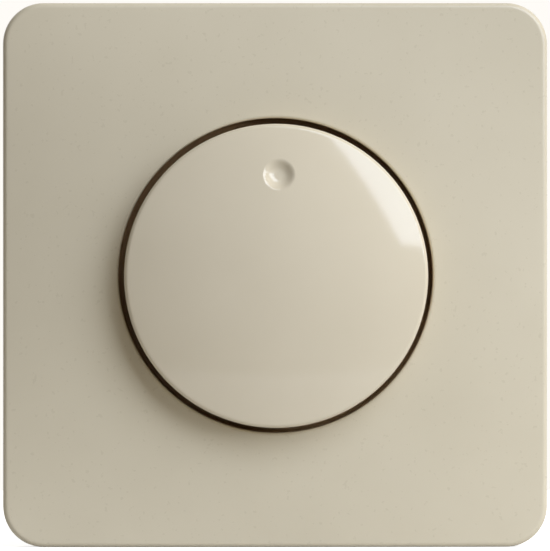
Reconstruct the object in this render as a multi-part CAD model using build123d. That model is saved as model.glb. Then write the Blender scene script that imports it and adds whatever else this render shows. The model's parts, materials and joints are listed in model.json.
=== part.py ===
"""Rotary push-and-turn dimmer with a one-piece cover plate, for a 60 mm wall box.

Every piece is drawn on the bench: X to the right, Y up, Z out of the wall, and the
wall plane at Z = 0. export() stands each one up, so that the front faces -Y, up is +Z
and the origin is the middle of the cover plate on the wall plane. Sizes are in mm.
"""

import os
from math import cos, pi, radians, sin, sqrt

from build123d import *

# Cover plate
PLATE = 80.0
PLATE_CORNER = 6.0
PLATE_TOP = 11.3
PLATE_PILLOW = 4.0
PLATE_SQUARE = 0.85
PLATE_EDGE = 0.8
PLATE_WALL = 2.2
WELL_R = 23.1
WELL_LIP = 0.4
WELL_WALL = 1.6
FLOOR_BACK = 3.2
FLOOR_FRONT = 4.8

# Knob and its shaft
KNOB_R = 22.3
KNOB_BACK = 7.6
KNOB_TOP = 17.6
KNOB_DOME = 70.0
KNOB_EDGE = 0.8
KNOB_WALL = 2.0
KNOB_BOSS_R = 5.0
KNOB_BOSS_BACK = 9.8
DIMPLE_R = 2.15
DIMPLE_DEPTH = 0.9
DIMPLE_ORBIT = 14.9
DIMPLE_TURN = 1.4
SHAFT_R = 3.0
SHAFT_TOP = 14.4
SHAFT_FLAT = 1.5
SHAFT_KEY = 2.2
SHAFT_TAIL_R = 2.5

# Central bushing and its nuts
BUSHING_R = 5.0
BUSHING_TOP = 7.6
NUT_FLATS = 14.0
WASHER_T = 0.4
LOCK_NUT_T = 1.6
COVER_NUT_T = 2.5

# Support frame
FRAME = 71.0
FRAME_T = 1.2
FRAME_CORNER = 9.0
BOX_SCREW_X = 30.0
SLOT_W = 3.8
SLOT_L = 7.0

# Insert behind the wall
INSERT_X = 23.0
INSERT_Y = 24.5
CHAMFER_X = 14.75
CHAMFER_Y = 17.0
RECESS_X = 19.6
RECESS_W = 14.0
INSERT_BACK = -30.0
LID_T = 2.5
SHELL = 1.6
BOSS = 17.4
BOSS_R = 2.6
PCB_TOP = -19.0
PCB_T = 1.6

# Spreading claws
CLAW_SCREW_X = 22.8
CLAW_PIVOT = (25.6, -1.2)
CLAW_ANGLE = 20.0
CLAW_W = 8.0
CLAW_FOOT = -20.0
WEDGE_TOP = -12.0
WEDGE_T = 2.4
WEDGE_EDGE_X = 25.0
WEDGE_TRAVEL = 6.0
PIN_R = 0.6
EAR_Y = 5.3

# Terminals
TERMINAL_X = (-9.5, 0.0, 9.5)
WIRE_Y = 15.9
WIRE_R = 1.7
TERMINAL_SCREW_Z = -24.4

# Potentiometer and push switch
POT_X = 17.0
POT_Y = 19.0
POT_BACK = -11.0
POT_COVER_T = 0.8
POT_CAVITY_R = 7.7
TRACK_TOP = -9.2

# Fuse and trimmer
FUSE = (-2.5, -17.7, -5.4)
FUSE_R = 2.5
FUSE_L = 20.0
TRIMMER = (11.8, -12.2)

RUN = 0.05


def block(x0, x1, y0, y1, z0, z1):
    """A box given by its limits."""
    size = Box(x1 - x0, y1 - y0, z1 - z0)
    return Pos((x0 + x1) / 2, (y0 + y1) / 2, (z0 + z1) / 2) * size


def rod(radius, z0, z1, x=0.0, y=0.0):
    """A round bar along Z."""
    return Pos(x, y, (z0 + z1) / 2) * Cylinder(radius, z1 - z0)


def rod_y(radius, y0, y1, x=0.0, z=0.0):
    """A round bar along Y."""
    return Pos(x, (y0 + y1) / 2, z) * Rot(90, 0, 0) * Cylinder(radius, y1 - y0)


def rod_x(radius, x0, x1, y=0.0, z=0.0):
    """A round bar along X."""
    return Pos((x0 + x1) / 2, y, z) * Rot(0, 90, 0) * Cylinder(radius, x1 - x0)


def tube(outer, inner, z0, z1, x=0.0, y=0.0):
    """A round sleeve along Z."""
    return rod(outer, z0, z1, x, y) - rod(inner, z0 - 1, z1 + 1, x, y)


def prism(sketch, z0, z1):
    """A flat outline pulled from one height to another."""
    return Pos(0, 0, z0) * extrude(sketch, z1 - z0)


def sector(outer, inner, middle, half, z0, z1):
    """Part of a ring, centred on an angle in degrees."""
    ring = tube(outer, inner, z0, z1)
    reach = 3 * outer
    left = (reach * cos(radians(middle + half)), reach * sin(radians(middle + half)))
    right = (reach * cos(radians(middle - half)), reach * sin(radians(middle - half)))
    if half > 90:
        return ring - prism(Polygon((0, 0), left, right, align=None), z0 - 1, z1 + 1)
    return ring & prism(Polygon((0, 0), right, left, align=None), z0 - 1, z1 + 1)


def hexagon(flats, z0, z1, hole):
    """A plain hexagon nut with its corners turned off on the front."""
    corner = flats / 2 / cos(pi / 6)
    body = prism(RegularPolygon(corner, 6), z0, z1)
    tall = z1 - z0
    turned = Pos(0, 0, (z0 + z1) / 2) * Cone(corner + tall, corner - 0.3, tall)
    return (body & turned) - rod(hole, z0 - 1, z1 + 1)


def insert_outline(inset=0.0):
    """Eight-sided outline of the insert, with a recess for each claw."""
    corners = [
        (INSERT_X, -CHAMFER_Y),
        (INSERT_X, CHAMFER_Y),
        (CHAMFER_X, INSERT_Y),
        (-CHAMFER_X, INSERT_Y),
        (-INSERT_X, CHAMFER_Y),
        (-INSERT_X, -CHAMFER_Y),
        (-CHAMFER_X, -INSERT_Y),
        (CHAMFER_X, -INSERT_Y),
    ]
    outline = Polygon(*corners, align=None)
    if inset:
        outline = offset(outline, amount=-inset, kind=Kind.INTERSECTION)
    notch = Rectangle(20, RECESS_W + 2 * inset)
    for side in (-1, 1):
        outline -= Pos(side * (RECESS_X - inset + 10), 0) * notch
    return outline


# Cover and knob


def under_front(sink=0.0):
    """Solid under the plate's pillowed front, or under a copy of it that lies deeper.

    From the plate's middle the front falls by PLATE_PILLOW to the middle of each side. At a
    PLATE_SQUARE of 0 it would fall twice as far to the corners, and at 1 no further.
    """
    reach = PLATE / 2 + 4
    share = (reach / (PLATE / 2)) ** 2
    falls = ((-reach, share), (0, -share), (reach, share))
    patch = []
    for x, across in falls:
        row = []
        for y, along in falls:
            fall = PLATE_PILLOW * (across + along - PLATE_SQUARE * across * along)
            row.append((x, y, PLATE_TOP - sink - fall))
        patch.append(row)
    return extrude(Face.make_bezier_surface(patch), amount=20, dir=(0, 0, -1))


def cover_plate():
    outside = prism(RectangleRounded(PLATE, PLATE, PLATE_CORNER), 0, 14) & under_front()
    rim = outside.edges().filter_by(lambda e: e.bounding_box().min.Z > 5)
    outside = fillet(rim, PLATE_EDGE)
    inner = PLATE - 2 * PLATE_WALL
    hollow = prism(RectangleRounded(inner, inner, PLATE_CORNER - PLATE_WALL), -1, 14)
    plate = outside - (hollow & under_front(PLATE_WALL))
    extra = rod(WELL_R + WELL_WALL, FLOOR_BACK, 14)
    for turn in range(4):
        rib = block(WELL_R + 0.5, PLATE / 2 - 1, -0.6, 0.6, FLOOR_BACK + 0.8, 14)
        extra += Rot(0, 0, 90 * turn) * rib
        for y in (-19, 19):
            stop = block(FRAME / 2 + 0.2, PLATE / 2 - 1, y - 0.6, y + 0.6, 0.4, 14)
            extra += Rot(0, 0, 90 * turn) * stop
    plate += extra & under_front(PLATE_WALL / 2)
    plate -= rod(WELL_R, FLOOR_FRONT, 14)
    mouth = plate.edges().filter_by(
        lambda e: e.bounding_box().min.Z > FLOOR_FRONT + 1
        and abs(e.bounding_box().size.X - 2 * WELL_R) < 0.1
    )
    plate = fillet(mouth, WELL_LIP)
    return plate - rod(BUSHING_R + 0.2, 0, 14)


def dome(drop=0.0):
    """Ball under the knob's front face."""
    return Pos(0, 0, KNOB_TOP - KNOB_DOME) * Sphere(KNOB_DOME - drop)


def dimple():
    """Ball that presses the pointer mark into the dome."""
    ball = (DIMPLE_R**2 + DIMPLE_DEPTH**2) / (2 * DIMPLE_DEPTH)
    lean = DIMPLE_ORBIT / KNOB_DOME
    lift = KNOB_DOME + ball - DIMPLE_DEPTH
    out = lift * lean
    x = out * sin(radians(DIMPLE_TURN))
    y = out * cos(radians(DIMPLE_TURN))
    return Pos(x, y, KNOB_TOP - KNOB_DOME + lift * sqrt(1 - lean**2)) * Sphere(ball)


def rotary_knob():
    knob = rod(KNOB_R, KNOB_BACK, KNOB_TOP + 2) & dome()
    rim = knob.edges().filter_by(
        lambda e: e.bounding_box().min.Z > KNOB_BACK + 2 and e.bounding_box().size.X > KNOB_R
    )
    knob = fillet(rim, KNOB_EDGE)
    knob -= rod(KNOB_R - KNOB_WALL, 0, KNOB_TOP) & dome(KNOB_WALL)
    core = dome(KNOB_WALL / 2)
    knob += rod(KNOB_BOSS_R, KNOB_BOSS_BACK, KNOB_TOP) & core
    for turn in range(6):
        rib = block(KNOB_BOSS_R + 1, KNOB_R - KNOB_WALL / 2, -0.5, 0.5, 10.6, KNOB_TOP)
        knob += (Rot(0, 0, 60 * turn) * rib) & core
    socket = rod(SHAFT_R + RUN, 0, SHAFT_TOP + 0.2)
    knob -= socket & block(-5, 5, -SHAFT_FLAT - RUN, 5, 0, KNOB_TOP)
    knob -= block(-6, 6, -0.5, 0.5, 0, 13.4)
    return knob - dimple()


def knob_clip():
    return sector(KNOB_BOSS_R + 0.6, KNOB_BOSS_R, 90, 150, 10.6, 12.6)


def cover_nut():
    return hexagon(NUT_FLATS, FLOOR_FRONT, FLOOR_FRONT + COVER_NUT_T, BUSHING_R)


def lock_nut():
    back = FRAME_T + WASHER_T
    return hexagon(NUT_FLATS, back, back + LOCK_NUT_T, BUSHING_R)


def lock_washer():
    return tube(8.5, BUSHING_R + 0.1, FRAME_T, FRAME_T + WASHER_T)


def bushing():
    sleeve = tube(BUSHING_R, SHAFT_R + RUN, -LID_T - POT_COVER_T, BUSHING_TOP)
    rim = sleeve.edges().filter_by(GeomType.CIRCLE).filter_by(
        lambda e: e.radius > 4.9 and e.center().Z > BUSHING_TOP - 0.1
    )
    return chamfer(rim, 0.3)


def control_shaft():
    shaft = rod(SHAFT_R, -9.6, SHAFT_TOP) + rod(SHAFT_TAIL_R, -13.0, -9.6)
    shaft -= block(-5, 5, -5, -SHAFT_FLAT, KNOB_BOSS_BACK - 0.3, SHAFT_TOP + 1)
    for side in (-1, 1):
        shaft -= Pos(0, side * (SHAFT_KEY + 5), -8.0) * Box(10, 10, 7.6)
    shaft -= tube(SHAFT_R + 1, 2.6, -4.0, -3.4)
    tip = shaft.edges().group_by(Axis.Z)[-1]
    return chamfer(tip, 0.4)


def shaft_ring():
    return sector(4.6, 2.6, 90, 155, -4.0, -3.4)


# Potentiometer


def pot_cover():
    plate = block(-POT_X / 2, POT_X / 2, -POT_Y / 2, POT_Y / 2, -LID_T - POT_COVER_T, -LID_T)
    return plate - rod(BUSHING_R, -10, 0)


def pot_case():
    top = -LID_T - POT_COVER_T
    case = block(-POT_X / 2, POT_X / 2, -POT_Y / 2, POT_Y / 2, POT_BACK, top)
    case -= rod(POT_CAVITY_R, TRACK_TOP - 0.6, top + 1)
    case += sector(POT_CAVITY_R + 0.2, 5.6, 270, 19.5, -8.6, top - 0.1)
    return case - rod(SHAFT_R + 0.2, -20, 0)


def track_board():
    return tube(POT_CAVITY_R - 0.1, SHAFT_R + 0.4, TRACK_TOP - 0.6, TRACK_TOP)


def carbon_track():
    return sector(6.9, 5.2, 90, 155, TRACK_TOP, TRACK_TOP + 0.15)


def wiper_rotor():
    lug = sector(7.3, 4.0, 90 - DIMPLE_TURN, 15, -8.2, -6.4)
    rotor = rod(4.4, -8.4, -6.2) + lug
    key = rod(SHAFT_R + RUN, -9, -5) & block(-5, 5, -SHAFT_KEY - RUN, SHAFT_KEY + RUN, -9, -5)
    return rotor - key


def wiper_contact():
    arm = block(-0.8, 0.8, 4.8, 6.9, -8.4, -8.2)
    tip = rod_x(0.35, -0.8, 0.8, 6.05, -8.64)
    return Rot(0, 0, -DIMPLE_TURN) * (arm + tip + block(-0.8, 0.8, 5.8, 6.3, -8.6, -8.3))


# Push switch


def switch_case():
    case = block(-POT_X / 2, POT_X / 2, -POT_Y / 2, POT_Y / 2, PCB_TOP, POT_BACK)
    case -= block(-7.3, 7.3, -4.8, 4.8, PCB_TOP + 1.2, POT_BACK + 1)
    for y in (-3, 3):
        case -= rod(0.5, PCB_TOP - 1, -17, -5.4, y)
    return case


def switch_plunger():
    plunger = block(-7.0, 7.0, -4.5, 4.5, -14.6, -11.8)
    plunger = fillet(plunger.edges().filter_by(Axis.Z), 0.6)
    plunger += rod(1.9, -15.6, -14.6)
    return plunger - rod(SHAFT_TAIL_R + 0.1, -13.05, -11)


def contact_bridge():
    strip = block(-6.6, -4.2, -3.9, 3.9, -15.0, -14.6)
    return strip + rod(0.9, -15.2, -15.0, -5.4, -3) + rod(0.9, -15.2, -15.0, -5.4, 3)


def fixed_contact(y):
    head = rod(1.0, PCB_TOP + 1.2, -17.05, -5.4, y)
    return head + rod(0.5, PCB_TOP, PCB_TOP + 1.2, -5.4, y)


def return_spring():
    wire = 0.2
    low = PCB_TOP + 1.2 + wire
    tall = -14.6 - wire - low
    path = Pos(0, 0, low) * Helix(pitch=tall / 2.5, height=tall, radius=2.7)
    plane = Plane(origin=path @ 0, z_dir=path % 0)
    return sweep(plane * Circle(wire), path=path, is_frenet=True)


# Frame and insert


def slot(x, y, turn):
    """One radial fixing slot."""
    return prism(Pos(x, y) * Rot(0, 0, turn) * SlotOverall(SLOT_L, SLOT_W), -1, 5)


def support_frame():
    sheet = Rectangle(FRAME, FRAME)
    sheet = chamfer(sheet.vertices(), FRAME_CORNER)
    frame = prism(sheet, 0, FRAME_T)
    frame = fillet(frame.edges().filter_by(Axis.Z), 1.5)
    frame -= rod(BUSHING_R + 0.1, -1, 5)
    frame -= slot(BOX_SCREW_X, 0, 0) + slot(-BOX_SCREW_X, 0, 0)
    frame -= slot(0, BOX_SCREW_X, 90) + slot(0, -BOX_SCREW_X, 90)
    frame -= rod(2.6, -1, 5, *TRIMMER)
    frame -= block(FUSE[0] - 12.2, FUSE[0] + 12.2, FUSE[1] - 3.4, FUSE[1] + 3.4, -1, 5)
    for side in (-1, 1):
        x = side * CLAW_PIVOT[0]
        frame -= rod(1.7, -1, 5, side * CLAW_SCREW_X)
        for end in (-1, 1):
            frame -= Pos(x, end * (EAR_Y + 1.8), 0.6) * Box(2.4, 2.6, 3)
            ear = Pos(x, end * EAR_Y, -1.3 + FRAME_T / 2) * Box(2.4, 1.0, 2.6 + FRAME_T)
            frame += ear
        frame -= rod_y(PIN_R, -8, 8, x, CLAW_PIVOT[1])
    return frame


def lid():
    plate = prism(insert_outline(), -LID_T, 0)
    plate -= rod(BUSHING_R + 0.1, -5, 1)
    plate -= rod(1.9, -5, 1, *TRIMMER)
    plate -= block(FUSE[0] - 11.7, FUSE[0] + 11.7, FUSE[1] - 3.0, FUSE[1] + 3.0, -5, 1)
    for side in (-1, 1):
        plate -= rod(1.2, -5, 1, -side * BOSS, side * BOSS)
        plate -= Pos(-side * BOSS, side * BOSS, -0.75) * Cone(1.2, 2.7, 1.5)
    return plate


def rear_housing():
    shell = prism(insert_outline(), INSERT_BACK, -LID_T)
    edges = shell.faces().sort_by(Axis.Z)[0].outer_wire().edges()
    shell = chamfer(edges, 0.6)
    shell -= prism(insert_outline(SHELL), INSERT_BACK + SHELL, 0)
    inside = prism(insert_outline(SHELL / 2), INSERT_BACK + SHELL / 2, -LID_T)
    for side in (-1, 1):
        boss = rod(BOSS_R, INSERT_BACK + SHELL / 2, -LID_T, -side * BOSS, side * BOSS)
        shell += boss & inside
        shell -= rod(1.2, -12, 0, -side * BOSS, side * BOSS)
        for y in (-11.5, 11.5):
            shell += rod(1.4, INSERT_BACK + SHELL / 2, PCB_TOP - PCB_T, side * 19.6, y)
    shell -= block(-14.5, 14.5, 12.0, 30, INSERT_BACK - 1, PCB_TOP - PCB_T)
    for x in (-12, -6, 0, 6, 12):
        shell -= block(x - 1, x + 1, -18, -3, INSERT_BACK - 1, INSERT_BACK + SHELL + 1)
    for x in (-9, -3, 3, 9):
        shell -= block(x - 1, x + 1, -26, -20, -17, -9)
    return shell


def housing_screw(side):
    x, y = -side * BOSS, side * BOSS
    head = Pos(x, y, -0.8) * Cone(1.2, 2.6, 1.4)
    screw = head + rod(1.2, -10, -1.4, x, y)
    return screw - Pos(x, y, -0.1) * Rot(0, 0, 45) * Box(6, 0.7, 1.0)


def pcb():
    board = prism(insert_outline(SHELL + 0.15), PCB_TOP - PCB_T, PCB_TOP)
    for side in (-1, 1):
        board -= rod(BOSS_R + 0.2, -25, -15, -side * BOSS, side * BOSS)
    for x in TERMINAL_X:
        board -= block(x - 0.65, x + 0.65, 17.8, 18.6, -25, -15)
    return board


# Claws


def claw_screw(side):
    x = side * CLAW_SCREW_X
    screw = rod(2.7, FRAME_T + 0.05, 2.9, x) + rod(1.5, -22, FRAME_T + 0.05, x)
    return screw - Pos(x, 0, 2.9) * Box(7, 0.8, 1.8)


def wedge_nut(side):
    low = WEDGE_TOP - WEDGE_T
    nut = block(20.1, WEDGE_EDGE_X, -3.8, 3.8, low, WEDGE_TOP) - rod(1.55, -20, 0, CLAW_SCREW_X)
    return nut if side > 0 else mirror(nut, about=Plane.YZ)


def claw_face(share):
    """Point of the claw's inner face that meets the nut at this share of its travel."""
    px, pz = CLAW_PIVOT
    turn = radians(CLAW_ANGLE) * share
    dx = WEDGE_EDGE_X + 0.06 - px
    dz = WEDGE_TOP + 0.03 + WEDGE_TRAVEL * share - pz
    return px + dx * cos(turn) + dz * sin(turn), pz - dx * sin(turn) + dz * cos(turn)


def claw(side):
    px, pz = CLAW_PIVOT
    face = [claw_face(i / 8) for i in range(9)]
    outline = [(25.06, CLAW_FOOT + 1.0), *face, (24.75, -2.4), (px + 0.9, -2.4)]
    outline += [(26.5, -16.5), (28.0, -17.8), (28.0, -18.4), (26.6, CLAW_FOOT)]
    outline += [(25.6, CLAW_FOOT)]
    profile = Polygon(*outline, align=None) + Pos(px, pz) * Circle(0.9)
    profile += Pos(px, pz - 0.7) * Rectangle(1.8, 1.4)
    lever = extrude(Plane.XZ * profile, CLAW_W / 2, both=True)
    lever -= block(20, 25.25, -1.95, 1.95, -15.5, -3.2)
    lever -= rod_y(PIN_R + RUN, -6, 6, px, pz)
    for y in (-1.4, 1.4):
        lever -= Pos(28.0, y, -18.5) * Rot(0, 0, 45) * Box(1.0, 1.0, 4)
    return lever if side > 0 else mirror(lever, about=Plane.YZ)


def claw_pin(side):
    return rod_y(PIN_R, -6.3, 6.3, side * CLAW_PIVOT[0], CLAW_PIVOT[1])


# Terminals


def terminal_block():
    top = PCB_TOP - PCB_T
    body = block(-14.4, 14.4, 12.1, INSERT_Y, INSERT_BACK, top)
    for x in TERMINAL_X:
        body -= block(x - 3.0, x + 3.0, 12.8, 22.4, -27.6, top + 1)
        body -= block(x - 2.75, x + 2.75, 22.3, 24.05, TERMINAL_SCREW_Z, top + 1)
        body -= rod_y(2.75, 22.3, 24.05, x, TERMINAL_SCREW_Z)
        body -= rod_y(2.1, 24, 26, x, TERMINAL_SCREW_Z)
        body -= rod(WIRE_R, INSERT_BACK - 1, -27, x, WIRE_Y)
    return body


def terminal_cage(x):
    cage = block(x - 2.8, x + 2.8, 13.0, 19.9, -27.2, -21.6)
    cage -= block(x - 1.9, x + 1.9, 14.0, 18.8, -30, -20)
    return cage - rod_y(1.55, 18, 21, x, TERMINAL_SCREW_Z)


def terminal_screw(x):
    screw = rod_y(2.5, 22.45, 24.0, x, TERMINAL_SCREW_Z)
    screw += rod_y(1.5, 18.75, 22.45, x, TERMINAL_SCREW_Z)
    return screw - Pos(x, 24.0, TERMINAL_SCREW_Z) * Box(6, 1.6, 0.8)


def terminal_tongue(x):
    tongue = block(x - 1.7, x + 1.7, 17.7, 18.7, -27.5, -20.65)
    return tongue + block(x - 0.6, x + 0.6, 17.85, 18.55, -20.65, -18.0)


# Electronics


def heat_sink():
    sink = block(-13, 13, 10.6, 12.1, -18.6, -3.0)
    for side in (-1, 1):
        edges = sorted((side * 13, side * 11.5))
        sink += block(*edges, 12.1, 19.5, -18.6, -3.0)
        for z in (-15.5, -11.5, -7.5):
            sink -= Pos(side * 12.25, 16.2, z) * Box(4, 5, 1.6)
    return sink - rod_y(1.5, 9, 14, 0, -5.6)


def triac():
    body = block(-5.05, 5.05, 12.1, 16.6, -18.2, -9.0)
    body = chamfer(body.faces().sort_by(Axis.Y)[-1].edges(), 0.4)
    tab = block(-5, 5, 12.1, 13.4, -9.2, -2.8) - rod_y(1.85, 10, 15, 0, -5.6)
    body += tab
    for x in (-2.54, 0, 2.54):
        body += block(x - 0.4, x + 0.4, 13.9, 14.4, PCB_TOP, -18)
    return body


def triac_screw():
    screw = rod_y(2.7, 13.4, 15.2, 0, -5.6) + rod_y(1.5, 10.0, 13.4, 0, -5.6)
    return screw - Pos(0, 15.2, -5.6) * Box(7, 1.6, 0.7)


def choke_core():
    ring = rod_x(5.9, 10.9, 16.5, 0, -11.6) - rod_x(3.3, 10, 17, 0, -11.6)
    return ring


def choke_winding():
    coil = rod_x(6.7, 10.1, 17.3, 0, -11.6) - rod_x(2.5, 9, 18, 0, -11.6)
    coil -= rod_x(5.9, 10.9, 16.5, 0, -11.6) - rod_x(3.3, 10, 17, 0, -11.6)
    coil -= block(9, 18, -1.6, 1.6, -11.6, -3)
    coil += block(11.4, 12.2, 2.6, 3.4, PCB_TOP, -17.4)
    return coil + block(15.2, 16.0, -3.4, -2.6, PCB_TOP, -17.4)


def capacitor(x0, x1, y0, y1, z1):
    box = block(x0, x1, y0, y1, PCB_TOP + 0.3, z1)
    box = fillet(box.edges().filter_by(lambda e: e.center().Z > PCB_TOP + 1), 0.5)
    wide = x1 - x0 > y1 - y0
    mx, my = (x0 + x1) / 2, (y0 + y1) / 2
    for way in (-1, 1):
        dx = way * (x1 - x0) * 0.4 if wide else 0
        dy = 0 if wide else way * (y1 - y0) * 0.4
        box += rod(0.4, PCB_TOP, PCB_TOP + 0.4, mx + dx, my + dy)
    return box


def resistor():
    y, z = -20.5, -17.4
    part = rod_x(1.1, -3, 3, y, z) + rod_x(1.3, -3, -1.8, y, z) + rod_x(1.3, 1.8, 3, y, z)
    part += rod_x(0.3, -5.3, 5.3, y, z)
    return part + rod(0.3, PCB_TOP, z, -5, y) + rod(0.3, PCB_TOP, z, 5, y)


def trimmer_body():
    x, y = TRIMMER
    body = block(x - 3.2, x + 3.2, y - 3.2, y + 3.2, PCB_TOP, -14.6)
    body = chamfer(body.edges().filter_by(Axis.Z), 0.4)
    return body - rod(2.2, -16.2, -14, x, y)


def trimmer_spindle():
    x, y = TRIMMER
    spindle = rod(1.6, -14.6, 0.6, x, y) + rod(2.1, -16.1, -14.7, x, y) + rod(1.6, -15, -14, x, y)
    return spindle - Pos(x, y, 0.6) * Rot(0, 0, 35) * Box(4, 0.6, 1.6)


def fuse():
    x, y, z = FUSE
    part = rod_x(FUSE_R - 0.15, x - FUSE_L / 2 + 0.5, x + FUSE_L / 2 - 0.5, y, z)
    for side in (-1, 1):
        ends = sorted((x + side * FUSE_L / 2, x + side * (FUSE_L / 2 - 5)))
        part += rod_x(FUSE_R, *ends, y, z)
    return part


def fuse_carrier():
    x, y, z = FUSE
    head = block(x - 11.5, x + 11.5, y - 2.8, y + 2.8, -0.9, 0)
    saddle = block(x - 4.2, x + 4.2, y - 2.8, y + 2.8, z, -0.8)
    head += saddle - rod_x(FUSE_R - 0.13, x - 9, x + 9, y, z)
    return head - block(x - 3, x + 3, y - 0.5, y + 0.5, -0.5, 1)


def fuse_clip(side):
    x, y, z = FUSE
    middle = x + side * (FUSE_L / 2 - 2.6)
    clip = rod_x(FUSE_R + 0.4, middle - 1.6, middle + 1.6, y, z)
    clip -= rod_x(FUSE_R, middle - 3, middle + 3, y, z)
    clip -= block(middle - 3, middle + 3, y - 4, y + 4, z + 1.0, z + 5)
    stem = block(middle - 1.2, middle + 1.2, y - 0.3, y + 0.3, PCB_TOP, z - FUSE_R - 0.1)
    return clip + stem


def parts():
    """Every piece of the assembly by its node name."""
    found = {
        "cover_plate": cover_plate(),
        "rotary_knob": rotary_knob(),
        "knob_clip": knob_clip(),
        "cover_nut": cover_nut(),
        "lock_nut": lock_nut(),
        "lock_washer": lock_washer(),
        "bushing": bushing(),
        "control_shaft": control_shaft(),
        "shaft_ring": shaft_ring(),
        "pot_cover": pot_cover(),
        "pot_case": pot_case(),
        "track_board": track_board(),
        "carbon_track": carbon_track(),
        "wiper_rotor": wiper_rotor(),
        "wiper_contact": wiper_contact(),
        "switch_case": switch_case(),
        "switch_plunger": switch_plunger(),
        "contact_bridge": contact_bridge(),
        "fixed_contact_low": fixed_contact(-3),
        "fixed_contact_high": fixed_contact(3),
        "return_spring": return_spring(),
        "support_frame": support_frame(),
        "insert_lid": lid(),
        "rear_housing": rear_housing(),
        "housing_screw_right": housing_screw(-1),
        "housing_screw_left": housing_screw(1),
        "pcb": pcb(),
        "terminal_block": terminal_block(),
        "heat_sink": heat_sink(),
        "triac": triac(),
        "triac_screw": triac_screw(),
        "choke_core": choke_core(),
        "choke_winding": choke_winding(),
        "capacitor_main": capacitor(-17.3, -11.3, -7.5, 7.5, -8.0),
        "capacitor_small": capacitor(-16.0, -3.0, -14.4, -10.4, -11.0),
        "resistor": resistor(),
        "trimmer_body": trimmer_body(),
        "trimmer_spindle": trimmer_spindle(),
        "fuse": fuse(),
        "fuse_carrier": fuse_carrier(),
    }
    for name, side in (("left", -1), ("right", 1)):
        found[f"claw_screw_{name}"] = claw_screw(side)
        found[f"wedge_nut_{name}"] = wedge_nut(side)
        found[f"claw_{name}"] = claw(side)
        found[f"claw_pin_{name}"] = claw_pin(side)
        found[f"fuse_clip_{name}"] = fuse_clip(side)
    for name, x in zip(("left", "middle", "right"), TERMINAL_X):
        found[f"terminal_cage_{name}"] = terminal_cage(x)
        found[f"terminal_screw_{name}"] = terminal_screw(x)
        found[f"terminal_tongue_{name}"] = terminal_tongue(x)
    return found


def export():
    os.makedirs("parts", exist_ok=True)
    for name, shape in parts().items():
        export_step(Rot(90, 0, 0) * shape, f"parts/{name}.step")


export()
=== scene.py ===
import json
from math import asin, atan2, cos, hypot, pi, radians, sin, sqrt

import bmesh
import bpy
from bpy.props import FloatProperty, FloatVectorProperty, IntProperty, PointerProperty
from mathutils import Matrix, Vector


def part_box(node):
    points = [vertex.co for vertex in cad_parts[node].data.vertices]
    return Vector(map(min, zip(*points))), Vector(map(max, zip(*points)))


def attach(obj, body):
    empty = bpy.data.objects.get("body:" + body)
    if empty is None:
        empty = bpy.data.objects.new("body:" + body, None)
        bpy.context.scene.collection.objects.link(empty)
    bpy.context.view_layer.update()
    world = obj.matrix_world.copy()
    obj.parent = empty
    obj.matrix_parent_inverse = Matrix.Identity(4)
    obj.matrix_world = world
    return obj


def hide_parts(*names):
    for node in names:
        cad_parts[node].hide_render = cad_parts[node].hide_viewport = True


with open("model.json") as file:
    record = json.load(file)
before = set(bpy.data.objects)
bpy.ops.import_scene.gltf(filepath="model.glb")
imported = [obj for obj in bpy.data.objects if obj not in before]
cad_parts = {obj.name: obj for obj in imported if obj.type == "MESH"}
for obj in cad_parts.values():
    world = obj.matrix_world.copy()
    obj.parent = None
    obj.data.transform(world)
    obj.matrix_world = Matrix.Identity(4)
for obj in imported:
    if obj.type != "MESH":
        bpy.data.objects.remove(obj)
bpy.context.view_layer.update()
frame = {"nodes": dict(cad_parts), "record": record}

bl_info = {
    "name": "Rotary Dimmer Looks",
    "version": (1, 0, 0),
    "blender": (4, 5, 0),
    "location": "3D View > Sidebar > Dimmer",
    "description": "Cover, knob, screws and finishes of a rotary push-and-turn wall dimmer",
    "category": "Object",
}

# Pieces are drawn on the bench: X to the right, Y up and Z out of the wall, with the wall
# plane at Z = 0. STAND then turns them as the frame stands, with the front facing -Y.
STAND = Matrix.Rotation(pi / 2, 4, "X")
MM = 0.001

COVER_LOW, COVER_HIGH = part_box("cover_plate")
KNOB_LOW, KNOB_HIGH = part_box("rotary_knob")
SHEET_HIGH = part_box("support_frame")[1]

BODIES = frame["record"]["behaviour"]["bodies"]
BODY_OF = {node: body for body, nodes in BODIES.items() for node in nodes}
SLOT_OF = {part["node"]: part["material_slot"] for part in frame["record"]["subparts"]}


def colour(text):
    """Linear red, green and blue of an sRGB hex value."""
    shares = [int(text[i : i + 2], 16) / 255 for i in (1, 3, 5)]
    return [s / 12.92 if s <= 0.04045 else ((s + 0.055) / 1.055) ** 2.4 for s in shares]


def size(name, description, default):
    """A length that the user can change."""
    return FloatProperty(
        name=name, description=description, default=default, min=0.0, precision=5, unit="LENGTH"
    )


def tint(name, description, default):
    """A colour that the user can change."""
    return FloatVectorProperty(
        name=name,
        description=description,
        default=colour(default),
        min=0.0,
        max=1.0,
        size=3,
        subtype="COLOR",
    )


# Sizes and colours


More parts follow.
